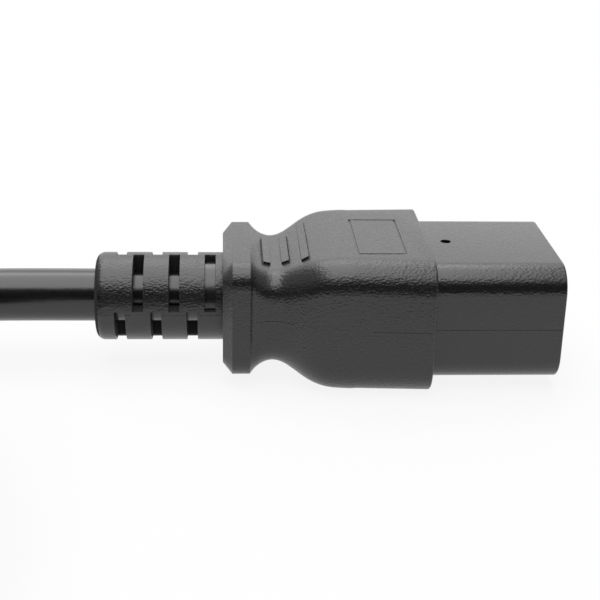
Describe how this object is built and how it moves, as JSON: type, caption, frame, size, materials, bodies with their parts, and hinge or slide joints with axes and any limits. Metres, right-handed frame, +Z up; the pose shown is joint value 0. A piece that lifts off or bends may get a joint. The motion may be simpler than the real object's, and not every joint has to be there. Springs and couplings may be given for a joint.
{
  "type": "power cord",
  "caption": "Black moulded power cord with a rectangular connector, ladder strain relief and a tied coil ending in a hooded plug.",
  "frame": {"origin": "under the middle of the connector, on the surface that the connector lies on", "axes": "+X along the connector from the cord towards its nose, +Y to the side away from the camera, +Z up"},
  "size_m": [0.2202, 0.1339, 0.0458],
  "materials": {
    "black_moulding": "fine crinkle texture",
    "black_insert": "moulded",
    "inner_plastic": "moulded",
    "black_jacket": "smooth satin",
    "black_tie": "matt",
    "contact_brass": "rolled",
    "pin_nickel": "nickel plated",
    "copper_wire": "bare wire",
    "brown_insulation": "smooth",
    "blue_insulation": "smooth",
    "green_insulation": "smooth"
  },
  "bodies": {
    "root": {"coil_tie": "black_tie", "connector_contact_block": "black_insert", "connector_earth_contact": "contact_brass", "connector_earth_core": "green_insulation", "connector_earth_wire": "copper_wire", "connector_inner_mould": "inner_plastic", "connector_line_contact": "contact_brass", "connector_line_core": "brown_insulation", "connector_line_wire": "copper_wire", "connector_neutral_contact": "contact_brass", "connector_neutral_core": "blue_insulation", "connector_neutral_wire": "copper_wire", "connector_overmould": "black_moulding", "cord_coil": "black_jacket", "cord_lead": "black_jacket", "cord_tail": "black_jacket", "plug_earth_core": "green_insulation", "plug_earth_pin": "pin_nickel", "plug_earth_wire": "copper_wire", "plug_inner_mould": "inner_plastic", "plug_line_core": "brown_insulation", "plug_line_pin": "pin_nickel", "plug_line_wire": "copper_wire", "plug_neutral_core": "blue_insulation", "plug_neutral_pin": "pin_nickel", "plug_neutral_wire": "copper_wire", "plug_overmould": "black_moulding", "plug_pin_block": "black_insert"}
  },
  "joints": []
}
